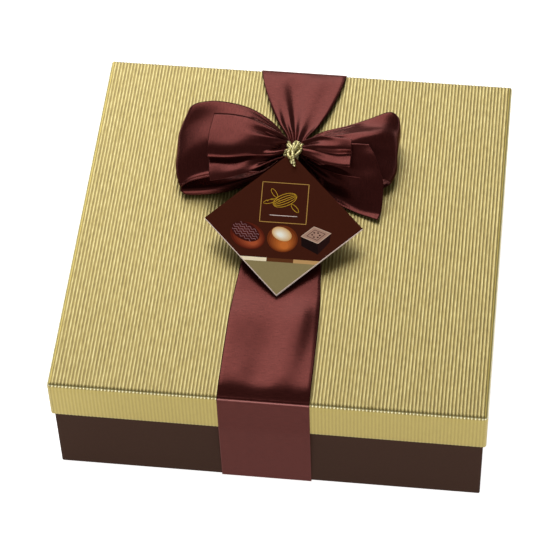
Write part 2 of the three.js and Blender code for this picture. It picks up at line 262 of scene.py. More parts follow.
def lid_side(sign):
    """A side of the lid with its round upright edges, from inside the rim up and over the top edge."""
    inner = HALF - UPRIGHT
    turn = np.linspace(-np.pi / 2, 0, 8)
    around = [(UPRIGHT * math.cos(t), -inner + UPRIGHT * math.sin(t), t) for t in turn]
    around += [(UPRIGHT, y, 0) for y in np.linspace(-inner + 2, inner - 2, 30)]
    around += [(UPRIGHT * math.cos(t), inner + UPRIGHT * math.sin(t), t) for t in -turn[::-1]]
    fluted = np.linspace(SIDE_LOW, SIDE_HIGH, SIDE_FLUTES * COLUMNS_PER_FLUTE + 1)
    bends = np.linspace(0.2, 1.4, 5)
    levels = RIM_TURN + [(SIDE_FLUTE * flute(z - SIDE_LOW, SIDE_PITCH), z) for z in fluted]
    levels += [(FOLD * (1 - math.cos(a)), TOP - FOLD + FOLD * math.sin(a)) for a in bends]
    levels += [(UPRIGHT, TOP)]
    insets, heights = np.array(levels).T
    has_flutes = (heights >= SIDE_LOW) & (heights <= SIDE_HIGH)
    smooth_insets = np.where(has_flutes, 0, insets)
    grid = np.zeros((len(around), len(levels), 3))
    for row, (out, y, t) in zip(grid, around):
        on_edge = abs(t) > 0.01
        sunk = smooth_insets if on_edge else insets
        row[:, 0] = sign * (inner + out - sunk * math.cos(t))
        row[:, 1] = y - sunk * math.sin(t)
        row[:, 2] = heights
    return grid


def base(paper):
    """The dark base, a shut block up to a height inside the lid."""
    half = BASE_HALF * MM
    around = ((-1, -1), (1, -1), (1, 1), (-1, 1))
    corners = [(x * half, y * half, z * MM) for z in (BASE_FLOOR, BASE_TOP) for x, y in around]
    faces = [(3, 2, 1, 0), (4, 5, 6, 7), (0, 1, 5, 4), (1, 2, 6, 5), (2, 3, 7, 6), (3, 0, 4, 7)]
    mesh = bpy.data.meshes.new("base_paper")
    mesh.from_pydata(corners, [], faces)
    piece = link(mesh, "base_paper", paper)
    bevel = piece.modifiers.new("rounded edges", "BEVEL")
    bevel.width = BASE_ROUND * MM
    bevel.segments = 3
    mesh.polygons.foreach_set("use_smooth", [True] * len(mesh.polygons))
    mesh.set_sharp_from_angle(angle=math.radians(60))
    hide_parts("base")


# The bow


def across(x_front, x_back, *section, bulge=0.0):
    """A station of a ribbon: its section from the front to the back edge, as pairs of y and height."""
    section = np.array(section, float)
    gone = distances(section)
    share = gone / gone[-1]
    x = x_front + (x_back - x_front) * share + bulge * 4 * share * (1 - share)
    return np.column_stack([x, section])


LEFT_LOOP = [
    across(-5, -5, (32.6, 12.4), (33.2, 12.8), (34.5, 13.2), (36.5, 13.6), (39.4, 12.6)),
    across(-12.5, -12, (28, 12), (29.6, 12.8), (34, 14.6), (41, 17), (48.3, 15.6)),
    across(-23, -23.5, (23.4, 11), (25.6, 12), (33, 14.8), (44, 18.6), (55, 17.6)),
    across(-36, -37.5, (20.6, 8.8), (23, 10), (32, 13.4), (45, 17.6), (57.2, 18.4), bulge=-0.8),
    across(-45.6, -47, (18.8, 6.8), (21.2, 8.2), (31, 11.4), (45, 15.6), (56.4, 17.4), bulge=-1.8),
    across(-50.2, -51.4, (17, 4.8), (19.4, 6), (29, 9), (42, 12.6), (54.4, 15.4), bulge=-3.4),
    across(-50.6, -52, (16, 2.6), (18.4, 3.6), (29, 5.4), (42, 8.4), (53.8, 9.4), bulge=-4.2),
    across(-48.4, -49, (15.4, 1), (17.6, 4), (29, 2.4), (42, 2.4), (53.6, 3.4), bulge=-3),
    across(-37.4, -37, (16.4, 1.4), (18.8, 4.6), (30, 2), (42, 0.9), (54, 1.2)),
    across(-27, -26, (19.6, 1.6), (22, 4.8), (31, 2.2), (40, 1), (51, 1.2)),
    across(-16.5, -15, (26, 2), (27.8, 4.6), (32, 2.8), (38, 2.2), (45, 2.8)),
    across(-5, -5, (32.6, 9.6), (33.4, 9.2), (34.5, 9), (36.5, 9), (39.4, 9.6)),
]
RIGHT_LOOP = [
    across(2, 2, (32.6, 12.2), (34.5, 13), (36.5, 13.4), (39.4, 12.4)),
    across(9, 9.4, (28.5, 11), (34, 13.6), (39.6, 15), (46.6, 13.4)),
    across(20, 20.4, (25, 10.6), (34, 14.6), (42.5, 16.6), (51, 15)),
    across(31, 31.5, (25, 9.6), (35, 13.8), (45, 17.2), (55.6, 16)),
    across(38.8, 40, (27, 7.4), (38, 11.4), (48, 16), (59.8, 15.6), bulge=0.8),
    across(42.6, 43.6, (28.2, 4.6), (38, 7.6), (48, 12), (58.2, 13.4), bulge=2),
    across(42.8, 43.8, (28.6, 2.2), (38, 3.8), (48, 6.4), (57.6, 8), bulge=2.2),
    across(39, 41, (26.2, 0.9), (37, 1.2), (48, 1.6), (58.8, 2.6), bulge=1),
    across(30, 31, (20.6, 0.8), (34, 0.8), (47, 0.8), (58.6, 1)),
    across(20, 20, (21, 0.9), (33, 0.9), (44, 0.9), (55.6, 1.1)),
    across(9.5, 10, (27, 2.4), (33, 2.4), (40, 2.6), (47.4, 3.2)),
    across(2, 2, (32.6, 9.4), (34.5, 8.8), (36.5, 8.8), (39.4, 9.4)),
]
LEFT_END = [
    across(-5, -5, (32.2, 13.2), (32.6, 13.8), (33, 14.1), (33.6, 14.2), (34.2, 14.2), (35, 14.6),
           (36.4, 15), (38, 15), (39.4, 14)),
    across(-11.5, -11, (27.6, 12.8), (28.6, 13.3), (29.8, 13.6), (31, 13.9), (31.8, 14.6), (31, 15.5),
           (33.4, 17.1), (38.8, 17.9), (42.6, 17.4)),
    across(-20, -21, (21.8, 12.7), (24.2, 13.2), (26.8, 13.5), (29.2, 13.9), (30.2, 14.8), (28.4, 15.8),
           (31.4, 18.4), (38.6, 19.5), (46.9, 19.8)),
    across(-29.4, -30.4, (17.4, 12.4), (20.4, 13.1), (23.8, 13.5), (27.4, 13.8), (28.6, 14.9),
           (26.6, 16), (29.8, 18.8), (38, 19.8), (48.6, 20.2)),
    across(-37.4, -39.2, (14.8, 12.4), (18.2, 13.1), (22, 13.5), (26.2, 13.8), (27.6, 15),
           (25.4, 16.2), (28.8, 19), (38, 20), (48.4, 20.4), bulge=-1.8),
]
RIGHT_END = [
    across(2, 2, (36.5, 13.2), (35, 13.2), (33, 13.2), (32.6, 14.2), (35, 15), (38, 15), (39.2, 14.4),
           (37, 13.8)),
    across(9, 10, (38.5, 14.8), (32.5, 15), (28.8, 15), (28.6, 15.8), (32.8, 16.2), (35, 18.4),
           (40, 18.8), (34.6, 16.8)),
    across(17, 17.5, (39.6, 16), (32.8, 15.6), (27, 15.2), (26.6, 16.2), (31.6, 16.6), (33.6, 19.6),
           (38.8, 20.2), (32.8, 17.6)),
    across(25.4, 24.6, (40, 16.6), (33, 16), (26.4, 15.6), (26, 16.8), (31.8, 17.1), (33.2, 19.8),
           (38.2, 20.4), (31.8, 17.9)),
]
TAIL = [
    across(2, 2, (32.4, 9.8), (33.2, 11), (34.6, 12), (36.4, 12.6), (39, 13)),
    across(8, 10, (25.4, 4), (27.6, 8), (30.4, 11), (34, 13.6), (38.4, 15.6)),
    across(15.6, 19, (18, 1.3), (22, 3.4), (27, 8.8), (31.6, 13.8), (38, 17)),
    across(26.6, 26.6, (12.4, 1.4), (16.8, 2.4), (24, 8.8), (30.4, 14.6), (38.2, 17.6), bulge=0.6),
    across(39.2, 32.4, (7.8, 1.4), (13, 2.2), (22.6, 9.2), (30.6, 15), (38.6, 17.6), bulge=4.4),
]


def pleat_reach(width, pleats):
    """Height of even pleats that take up the ribbon's full width in a narrower one."""
    slack = np.sqrt(np.clip((RIBBON / width) ** 2 - 1, 0, None))
    return width * slack / (4.4 * pleats)


def pleated(points, pleats, seed, gather, fade, both_ends):
    """Gathers a ribbon where it is narrower than its cloth, with pleats that fade from the knot."""
    local = np.random.default_rng(seed)
    steps = np.linalg.norm(np.diff(points, axis=1), axis=2)
    width = steps.sum(axis=1)
    start = np.zeros((len(points), 1))
    v = np.concatenate([start, np.cumsum(steps, axis=1)], axis=1) / width[:, None]
    from_knot = distances(points.mean(axis=1))
    if both_ends:
        from_knot = np.minimum(from_knot, from_knot[-1] - from_knot)
    lean = 0.05 * np.sin(TURN * (1.3 * v + local.uniform())) + 0.03 * np.sin(TURN * (2.7 * v))
    drift = 0.03 * np.sin(from_knot[:, None] / 13 + local.uniform(0, 6))
    wave = np.sin(TURN * (pleats * (v + lean + drift) + local.uniform()))
    second = np.sin(TURN * (1.7 * pleats * (v - lean) + local.uniform()))
    near = gather * np.exp(-((from_knot / fade) ** 2))[:, None]
    reach = np.minimum(pleat_reach(width, pleats), HIGHEST_PLEAT)[:, None]
    lift = reach * (0.8 * wave + 0.2 * second) * near
    return points + normals(points) * lift[..., None]


def thicken(piece):
    """Gives a ribbon's surface the thickness of its cloth."""
    cloth = piece.modifiers.new("cloth", "SOLIDIFY")
    cloth.thickness = CLOTH * MM
    cloth.offset = 0


def ribbon_piece(
    name, stations, satin, rows, seed, pleats=3, both_ends=False, soft=0.3, gather=1.0, fade=14
):
    """A ribbon through its stations, gathered at the knot, with the thickness of its cloth."""
    net = smooth_through(np.array(stations), rows)
    fine = smooth_through(net.transpose(1, 0, 2), BOW_COLUMNS).transpose(1, 0, 2)
    grid = pleated(fine, pleats, seed, gather, fade, both_ends)
    grid += normals(grid) * (soft * lumps(grid.shape[:2], 2.4, seed))[..., None]
    grid[..., 2] = np.maximum(grid[..., 2], LOWEST) + TOP
    piece = grid_piece(name, grid, satin)
    thicken(piece)
    return piece


def bow(satin):
    """Two loops, two short ends over them and a longer end at the right."""
    loop = {"rows": 150, "pleats": 4, "both_ends": True}
    first = ribbon_piece("bow_left_loop", LEFT_LOOP, satin, seed=11, soft=0.9, **loop)
    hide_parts("bow")
    ribbon_piece("bow_right_loop", RIGHT_LOOP, satin, seed=12, soft=0.8, **loop)
    ribbon_piece("bow_left_end", LEFT_END, satin, rows=70, seed=13, soft=0.15, gather=1.4, fade=10)
    ribbon_piece("bow_right_end", RIGHT_END, satin, rows=60, seed=14, soft=0.1, gather=0.5)
    ribbon_piece("bow_tail", TAIL, satin, rows=80, seed=15)
    knot(satin)


def knot(satin):
    """The gathered ribbon inside the tie, with its pleats running through."""
    x = np.linspace(-KNOT_HALF, KNOT_HALF, 40)[:, None]
    angle = np.linspace(0, TURN, 96)[None, :]
    reach = 2.9 + 1.5 * (np.abs(x) / KNOT_HALF) ** 1.5
    reach *= np.clip((KNOT_HALF + 0.2 - np.abs(x)) / 2.2, 0.05, 1)
    folds = 0.45 * np.sin(11 * angle + 0.12 * x) + 0.2 * np.sin(17 * angle + 1)
    radius = reach * (1 + 0.16 * folds)
    grid = np.zeros((*radius.shape, 3))
    grid[..., 0] = KNOT[0] + x
    grid[..., 1] = KNOT[1] + radius * np.sin(angle)
    grid[..., 2] = TOP + KNOT[2] + radius * np.cos(angle)
    grid_piece("bow_knot", grid, satin)


# The band

BAND_Y = [-93.7, -89, -84, -68, -52, -38, -22, 8, 32, 42, 48, 53, 58.5, 70, 82, 88.5, 93.7]
BAND_WIDTHS = [40, 40, 40, 39.9, 39.6, 38.4, 36, 25, 8, 6, 6.5, 9.9, 17.5, 27.5, 35.3, 38.4, 40]
BAND_RISES = [0, 1.5, 1.5, 1.1, 1.2, 0.2, 0.3, 1.2, 2.6, 2.8, 2.4, 1.9, 1.4, 1.3, 1.3, 1.2, 0.5]


def band_profile(y):
    """The band's width, and its height off the lid, at places from front to back."""
    width = np.interp(y, BAND_Y, BAND_WIDTHS)
    rise = np.interp(y, BAND_Y, BAND_RISES)
    for _ in range(5):
        for values in (width, rise):
            values[1:-1] = (values[:-2] + 2 * values[1:-1] + values[2:]) / 4
    return width, rise


def band_top(v):
    """The band's stretch over the lid, gathered under the knot and loosely waved."""
    y = np.linspace(FOLD - HALF, HALF - FOLD, 150)
    width, rise = band_profile(y)
    pleats = 3.1
    reach = np.minimum(pleat_reach(width, pleats), 0.65) * np.exp(-(((y - 44) / 22) ** 2))
    lean = 0.06 * np.sin(TURN * (1.1 * v + 0.2))
    wave = np.sin(TURN * (pleats * (v + lean)[None, :] + 0.1 * np.sin(y / 30)[:, None]))
    soft = np.cos(TURN * (0.9 - v) / 0.65)[None, :] + 0.5 * lumps((len(y), len(v)), 2.6, 21)
    soft *= (np.clip((HALF - np.abs(y)) / 12, 0, 1) * width / RIBBON)[:, None]
    from_edge = 0.5 - np.abs(v - 0.5)
    lift = BAND_GAP + rise[:, None] + reach[:, None] * (1 + wave)
    lift += 0.5 * (1 + soft) * np.clip(rise, 0, 1)[:, None]
    lift -= np.clip(rise, 0, 0.25)[:, None] * np.exp(-((from_edge / 0.025) ** 2))
    middle = np.interp(y, [-HALF, KNOT[1], 70, HALF], [BAND_FRONT_X, -1.7, -2.2, BAND_BACK_X])
    grid = np.zeros((*lift.shape, 3))
    grid[..., 0] = middle[:, None] - width[:, None] * (v[None, :] - 0.5)
    grid[..., 1] = y[:, None]
    grid[..., 2] = TOP + lift
    return grid


def band_route():
    """The band's way from the lid's back fold down, under the base, and up to the front fold."""
    outer = FOLD + BAND_GAP
    lid_face = HALF + BAND_GAP
    base_face = BASE_HALF + BAND_GAP
    fold = [
        (HALF - FOLD + outer * math.sin(t), TOP - FOLD + outer * math.cos(t))
        for t in np.linspace(0.1, np.pi / 2, 12)
    ]
    beside_lid = [(lid_face, z) for z in np.linspace(TOP - 3, RIM, 8)]
    beside_base = [
        (lid_face + (base_face - lid_face) * s, RIM + (BASE_FLOOR + 1 - RIM) * s)
        for s in np.linspace(0.1, 1, 12)
    ]
    foot = [
        (BASE_HALF + BAND_GAP * math.sin(t), BASE_FLOOR + BAND_GAP * math.cos(t))
        for t in np.linspace(np.pi / 2, np.pi, 6)
    ]
    back = fold + beside_lid + beside_base + foot
    under = [(y, BASE_FLOOR - BAND_GAP) for y in np.linspace(BASE_HALF - 5, 5 - BASE_HALF, 20)]
    return back + under + [(-y, z) for y, z in back[::-1]]


def band(satin):
    """The ribbon round the box: over the lid, down the back, under the base and up the front."""
    v = np.linspace(0, 1, BAND_COLUMNS)
    route = band_route()
    rest = np.zeros((len(route), BAND_COLUMNS, 3))
    for row, (y, z) in zip(rest, route):
        middle = np.interp(y, [-HALF, HALF], [BAND_FRONT_X, BAND_BACK_X])
        row[:, 0] = middle - RIBBON * (v - 0.5)
        row[:, 1] = y
        row[:, 2] = z
    grid = np.concatenate([band_top(v), rest])
    piece = grid_piece("band", grid, satin, closed=True)
    thicken(piece)
    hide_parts("ribbon_band")


# The gold tie

TIE_STRANDS = {
    "tie_loop": [
        (-1.6, 36, 15.6), (-1.2, 31, 17), (-1.4, 27, 18.4),
        (-1.6, 25, 15.8), (-2, 26.4, 12.6), (-2.2, 30.6, 11.6),
    ],
    "tie_end_right": [
        (-0.5, 38, 15.8), (1.5, 35.7, 16.1), (1.8, 33.4, 15.8),
        (0.6, 30.2, 16.8), (-0.8, 26.6, 18.4), (0.3, 22.4, 17.4),
    ],
    "tie_end_left": [
        (-3.3, 38.2, 15.6), (-4.2, 36.2, 15.6), (-2.8, 33.3, 16.8),
        (-4.4, 32.8, 16), (-5.1, 31.8, 15), (-4.9, 30.2, 14.4),
    ],
    "tie_curl": [
        (-2.8, 32.8, 17), (-3.5, 30, 17.2), (-2.4, 26.8, 18.3),
        (-1, 27.5, 18.5), (-1.5, 30.7, 17.6), (-2.6, 32.1, 17.3),
    ],
    "tie_tangle": [
        (-4, 36.6, 16.2), (-2.4, 34.1, 17), (-1.2, 32.1, 17.3),
        (-0.1, 34.4, 17), (0.4, 37.3, 16.4), (-1.5, 38.3, 15.8),
    ],
}
OFF_AXIS = (0.13, 0.21, 0.97)  # a direction that no part of the wire follows
TWIST = 2.2


def tube(name, points, radius, foil, ply):
    """A wire through points, of two strands twisted together that show as a spiral of lumps."""
    path = smooth_through(points, len(points) * 10)
    path[..., 2] += TOP
    along = unit(np.gradient(path, axis=0))
    side = unit(np.cross(along, OFF_AXIS))
    other = np.cross(along, side)
    around = np.linspace(0, TURN, 17)
    gone = distances(path)
    swell = 1 + ply * np.cos(2 * (around[None, :] - gone[:, None] * TWIST))
    ends = np.clip(np.minimum(gone, gone[-1] - gone) / radius, 0, 1)[:, None] ** 0.5
    reach = radius * swell * np.maximum(ends, 0.02)
    grid = path[:, None] + side[:, None] * (reach * np.cos(around))[..., None]
    grid += other[:, None] * (reach * np.sin(around))[..., None]
    return grid_piece(name, grid, foil)


def tie(foil):
    """A wire in foil wound round the knot, with its ends crumpled together in front."""
    count = 120
    turn = np.linspace(0, 5.1 * TURN, count)
    reach = 3.95 + 0.2 * np.sin(turn * 0.37 + 1) + 0.15 * np.sin(turn * 1.7)
    spread = 3 + 0.9 * np.sin(turn)
    x = KNOT[0] + spread * np.linspace(-1, 1, count) + 0.5 * np.sin(turn * 0.61)
    wound = np.stack([x, KNOT[1] + reach * np.sin(turn), KNOT[2] + reach * np.cos(turn)], axis=1)
    first = tube("tie_turns", wound, WIRE, foil, ply=0.16)
    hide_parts("gold_tie")
    for name, points in TIE_STRANDS.items():
        tube(name, points, WIRE, foil, ply=0.2)
    under_height = 3.4
    angles = np.linspace(0, TURN, 25)
    middle = KNOT[0] - 1
    ring = [(middle + 5.6 * math.cos(a), KNOT[1], under_height + 2.6 * math.sin(a)) for a in angles]
    tube("tie_under", ring, 0.6, foil, ply=0.2)


# The card and its print


def card_place():
    """The matrix that lays the card on its slope, hung from its back corner."""
    place = Matrix.Translation(Vector(CARD_MIDDLE) * MM)
    for degrees, axis in CARD_TURNS:
        place = place @ Matrix.Rotation(math.radians(degrees), 4, axis)
    return place


def turned(x, y, along, side, turn):
    """The point at distances along and beside a direction from a middle."""
    return (
        x + along * math.cos(turn) - side * math.sin(turn),
        y + along * math.sin(turn) + side * math.cos(turn),
    )


def arc(x, y, reach_x, reach_y, start, end, turn=0.0, count=24):
    """Points on part of an oval, from one angle to another."""
    angles = np.linspace(start, end, count)
    return [turned(x, y, reach_x * math.cos(a), reach_y * math.sin(a), turn) for a in angles]


def oval(x, y, reach_x, reach_y, turn=0.0, count=48):
    """Points round a whole oval, each once."""
    return arc(x, y, reach_x, reach_y, 0, TURN, turn, count + 1)[:-1]


def stroke(points, width):
    """A line of the given width through points, as one flat shape for each step."""
    shapes = []
    for (x0, y0), (x1, y1) in zip(points[:-1], points[1:]):
        length = math.hypot(x1 - x0, y1 - y0)
        dx = (x1 - x0) / length * width / 2
        dy = (y1 - y0) / length * width / 2
        shapes.append([
            (x0 - dx + dy, y0 - dy - dx),
            (x1 + dx + dy, y1 + dy - dx),
            (x1 + dx - dy, y1 + dy + dx),
            (x0 - dx - dy, y0 - dy + dx),
        ])
    return shapes


def printed(name, shapes, paint, layer):
    """Flat printed shapes on the card's face. A higher layer lies over a lower one."""
    level = (CARD_THICK / 2 + INK * layer) * MM
    points = [(x * MM, y * MM, level) for shape in shapes for x, y in shape]
    faces = []
    first = 0
    for shape in shapes:
        faces.append(tuple(range(first, first + len(shape))))
        first += len(shape)
    mesh = bpy.data.meshes.new(name)
    mesh.from_pydata(points, [], faces)
    mesh.transform(card_place())
    link(mesh, name, paint)


def card(paints):
    """The board, its printed foot, bars and frame, the motif, and three pralines."""
    card_board(paints)
    card_foot(paints)
    frame_line = [(-10.8, 0.1), (10, 0.1), (9.7, 19.9), (-11.1, 19.9), (-10.8, 0.1)]
    printed("card_frame", stroke(frame_line, 0.34), paints["gold_line"], 1)
    rim = 0.1
    edge = [(rim - CARD_REACH, -0.2), (0, rim - CARD_REACH), (CARD_REACH - rim, -0.2)]
    printed("card_rim", stroke(edge, 0.2), paints["card_edge"], 2)
    pod_motif(paints)
    oval_praline(paints, -15.6, -7)
    topped_praline(paints, 0.2, -7.6)
    square_praline(paints, 15, -7.2)


def card_board(paints):
    """The square board with a corner at its front, and pale cut edges."""
    outline = [(0, -CARD_REACH), (CARD_REACH, 0), (0, CARD_REACH), (-CARD_REACH, 0)]
    half = CARD_THICK / 2
    points = [(x * MM, y * MM, z * MM) for z in (half, -half) for x, y in outline]
    faces = [(0, 1, 2, 3), (7, 6, 5, 4)]
    faces += [(i + 4, (i + 1) % 4 + 4, (i + 1) % 4, i) for i in range(4)]
    mesh = bpy.data.meshes.new("card_board")
    mesh.from_pydata(points, [], faces)
    mesh.transform(card_place())
    body = link(mesh, "card_board", paints["card"])
    body.data.materials.append(paints["card_edge"])
    for i, polygon in enumerate(body.data.polygons):
        polygon.material_index = 1 if i > 1 else 0
    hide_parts("card")


def card_foot(paints):
    """The khaki front corner, with a bar in three colours along its top."""
    top = -19.3
    half = 16.06
    printed("card_foot", [[(-half, top), (0, -CARD_REACH), (half, top)]], paints["khaki"], 1)
    bar = 1.8
    thirds = np.linspace(-half - bar, half + bar, 4)
    for x0, x1, colour in zip(thirds[:-1], thirds[1:], ("cream", "brown", "tan")):
        shape = [(max(x0, -half), top), (min(x1, half), top), (x1, top + bar), (x0, top + bar)]
        printed("card_bar_" + colour, [shape], paints[colour], 1)


def pod_motif(paints):
    """A cocoa pod on a leafy twig, in gold lines, with a fine pale rule below it."""
    lines = []
    for reach in (2.9, 1.7, 0.5):
        lines += stroke(arc(-0.4, 11.4, 5.6, reach, 0, TURN, math.radians(28), 40), 0.27)
    for x, y, lean in ((-5.4, 14.6, 125), (4.4, 7.6, -48), (-7.4, 10.2, 196)):
        lines += stroke(arc(x, y, 2.5, 0.9, 0, TURN, math.radians(lean)), 0.24)
    lines += stroke(arc(-5.2, 9.2, 3.4, 2.6, math.radians(40), math.radians(150)), 0.34)
    printed("card_pod", lines, paints["motif"], 1)
    printed("card_rule", stroke([(-6.4, 3.6), (5.6, 3.6)], 0.3), paints["pale_line"], 1)


def shaded(name, x, y, reach, dark, light, turn, lean, layer=1):
    """A rounded form in ovals inside each other, from a dark rim to a light middle off its centre."""
    rings = 7
    for i in range(rings):
        share = i / (rings - 1)
        size = 1 - 0.72 * share
        shape = oval(x + lean[0] * share, y + lean[1] * share, reach[0] * size, reach[1] * size, turn)
        tone = [low + (high - low) * share**0.8 for low, high in zip(dark, light)]
        paint = paper_material(f"{name}_{i}_print", tone, [value + 4 for value in tone], 0.45)
        printed(f"{name}_{i}", [shape], paint, layer + i)


def oval_praline(paints, x, y):
    """An oval dark praline with wavy lines over its top."""
    turn = math.radians(-26)
    shaded("oval_body", x + 0.2, y - 0.3, (8.2, 6.2), (92, 30, 16), (178, 82, 46), turn, (2.4, -2.8))
    top_x, top_y = x - 0.9, y + 1.5
    shaded("oval_top", top_x, top_y, (6.9, 4.1), (64, 20, 15), (86, 34, 27), turn, (-0.8, 0.5), layer=8)
    waves = []
    for offset in np.linspace(-0.72, 0.72, 5):
        half = 6.3 * math.sqrt(1 - offset**2)
        line = []
        for along in np.linspace(-half, half, 29):
            side = 3.7 * offset + 0.42 * math.sin(2.6 * along)
            line.append(turned(top_x, top_y, along, side, turn))
        waves += stroke(line, 0.26)
    printed("oval_waves", waves, paints["mauve"], 15)


def topped_praline(paints, x, y):
    """A round milk praline with a shiny cream top."""
    turn = math.radians(-24)
    shaded("round_body", x, y - 0.2, (6.9, 6.5), (112, 48, 18), (206, 112, 46), turn, (1, -3.2))
    cream, shine = (226, 178, 118), (255, 252, 236)
    shaded("round_top", x - 0.5, y + 2.1, (4.7, 3.2), cream, shine, turn, (-0.7, -0.4), layer=8)


def square_praline(paints, x, y):
    """A dark square praline with a paler top and a ring of dots on it."""
    top = [(x - 6.6, y + 1.2), (x - 1.3, y + 6.4), (x + 6.4, y + 3.7), (x + 1.1, y - 1.7)]
    foot = (top[3][0] + 0.4, top[3][1] - 5.4)
    left = [top[0], top[3], foot, (top[0][0] + 0.5, top[0][1] - 4.6)]
    right = [top[3], top[2], (top[2][0] - 0.2, top[2][1] - 4.4), foot]
    printed("square_left", [left], paints["black"], 1)
    printed("square_right", [right], paints["umber"], 1)
    printed("square_top", [top], paints["taupe"], 2)
    printed("square_edge", stroke(top + top[:1], 0.3), paints["pale_tan"], 3)
    middle_x, middle_y = x - 0.1, y + 2.4
    inner = [(middle_x + 0.62 * (px - middle_x), middle_y + 0.62 * (py - middle_y)) for px, py in top]
    printed("square_line", stroke(inner + inner[:1], 0.22), paints["dark"], 3)
    dots = [oval(px, py, 0.45, 0.36, count=10) for px, py in oval(middle_x, middle_y, 1.7, 1.2, count=6)]
    printed("square_dots", dots, paints["dark"], 3)


# Materials

MIX_FIRST, MIX_SECOND, MIX_RESULT = 6, 7, 2  # places of a mix node's colour sockets
CREASE = 0.5  # how far a fold's painted highlight line reaches
# how strongly the painted highlights on the flutes' crests and the painted shade in their grooves show
PAINTED_FLUTE_LIGHT_SHARE = 0.21
FOIL_SHARE = 0.36
# Colour stops of the gold paper, from painted groove shade up to painted crest and fold highlights. The
# front, back and sides take brighter, yellower stops than the top, a lit copy of the same paper to match
# how light falls on them.
TOP_GOLD = [
    (0.2, (90, 73, 24)),
    (0.42, (134, 116, 57)),
    (0.6, (156, 139, 77)),
    (0.85, (202, 190, 134)),
    (1, (242, 234, 190)),
]
UPRIGHT_GOLD = [
    (0.2, (138, 118, 42)),
    (0.42, (157, 138, 64)),
    (0.6, (174, 155, 77)),
    (0.85, (250, 242, 200)),
]


def shader_of(made):
    return made.node_tree.nodes["Principled BSDF"]


def principled(name, values):
    """A material with values on its shader's own sockets."""
    made = bpy.data.materials.new(name)
    made.use_nodes = True
    for key, value in values.items():
        shader_of(made).inputs[key].default_value = value
    return made


def srgb(*colour):
    """A linear colour from a red, green and blue from 0 to 255."""
    shares = [value / 255 for value in colour]
    return [c / 12.92 if c <= 10 / 255 else ((c + 0.055) / 1.055) ** 2.4 for c in shares] + [1]


def node(made, kind, **settings):
    """A new node. Each setting is one of its options or else the value of an input."""
    new = made.node_tree.nodes.new(kind)
    for key, value in settings.items():
        if hasattr(new, key):
            setattr(new, key, value)
        else:
            new.inputs[key].default_value = value
    return new


def wire(made, start, end):
    made.node_tree.links.new(start, end)


def calc(made, operation, *values):
    """The result of a math node on sockets and plain numbers."""
    new = node(made, "ShaderNodeMath", operation=operation)
    for socket, value in zip(new.inputs, values):
        if isinstance(value, (int, float)):
            socket.default_value = value
        else:
            wire(made, value, socket)
    return new.outputs["Value"]


def position(made):
    """The place on the object, in metres."""
    return node(made, "ShaderNodeNewGeometry").outputs["Position"]


def coordinate(made, axis):
    """One axis of the place on the object, in metres."""
    parts = node(made, "ShaderNodeSeparateXYZ")
    wire(made, position(made), parts.inputs["Vector"])
    return parts.outputs[axis]


def noise(made, vector, stretch, detail):
    """Noise over a vector that is first stretched along its axes."""
    stretched = node(made, "ShaderNodeMapping", Scale=stretch)
    wire(made, vector, stretched.inputs["Vector"])
    grain = node(made, "ShaderNodeTexNoise", Scale=1, Detail=detail)
    wire(made, stretched.outputs["Vector"], grain.inputs["Vector"])
    return grain.outputs["Fac"]


def ramp(made, value, stops):
    """A colour for a value, through stops that each give a place and a colour."""
    tone = node(made, "ShaderNodeValToRGB")
    elements = tone.color_ramp.elements
    for _ in stops[2:]:
        elements.new(0.5)
    for element, (place, _) in zip(elements, stops):
        element.position = place
    for element, (_, colour) in zip(elements, stops):
        element.color = srgb(*colour)
    wire(made, value, tone.inputs["Fac"])
    return tone.outputs["Color"]


def bump(made, height, strength, distance):
    new = node(made, "ShaderNodeBump", Strength=strength, Distance=distance * MM)
    wire(made, height, new.inputs["Height"])
    wire(made, new.outputs["Normal"], shader_of(made).inputs["Normal"])


def crease(made, height):
    """How near a place is to the height of a fold, from 0 to 1, to place a painted highlight along the
    fold.
    """
    away = calc(made, "ABSOLUTE", calc(made, "SUBTRACT", coordinate(made, "Z"), height * MM))
    near = calc(made, "MULTIPLY_ADD", away, -1 / (CREASE * MM), 1)
    return calc(made, "MAXIMUM", near, 0.0)


def satin_material():
    """Woven satin with fine threads across the ribbon, with a painted highlight where the band folds over
    the lid's edge.
    """
    values = {
        "Roughness": 0.27,
        "Anisotropic": 0.4,
        "Metallic": 0.66,
        "Specular IOR Level": 0.3,
        "Specular Tint": (1, 0.6, 0.55, 1),
    }
    made = principled("satin", values)
    shader = shader_of(made)
    flat = node(made, "ShaderNodeUVMap", uv_map="flat").outputs["UV"]
    threads = noise(made, flat, (60, 14, 1), 3)
    weft = noise(made, flat, (24, 3, 1), 1)
    weave = calc(made, "MULTIPLY_ADD", threads, 0.6, calc(made, "MULTIPLY", weft, 0.4))
    colour = ramp(made, weave, [(0.3, (56, 19, 16)), (0.7, (84, 37, 33))])
    # Painted highlight: the satin turns a paler pink at the height of the band's fold over the lid's
    # edges, standing in for light caught on the fold
    painted_fold_highlight = node(made, "ShaderNodeMix", data_type="RGBA")
    wire(made, crease(made, TOP - 0.4), painted_fold_highlight.inputs["Factor"])
    wire(made, colour, painted_fold_highlight.inputs[MIX_FIRST])
    painted_fold_highlight.inputs[MIX_SECOND].default_value = srgb(118, 76, 72)
    wire(made, painted_fold_highlight.outputs[MIX_RESULT], shader.inputs["Base Color"])
    bump(made, weave, 0.3, 0.1)
    tangent = node(made, "ShaderNodeTangent", direction_type="UV_MAP", uv_map="flat")
    wire(made, tangent.outputs["Tangent"], shader.inputs["Tangent"])
    return made


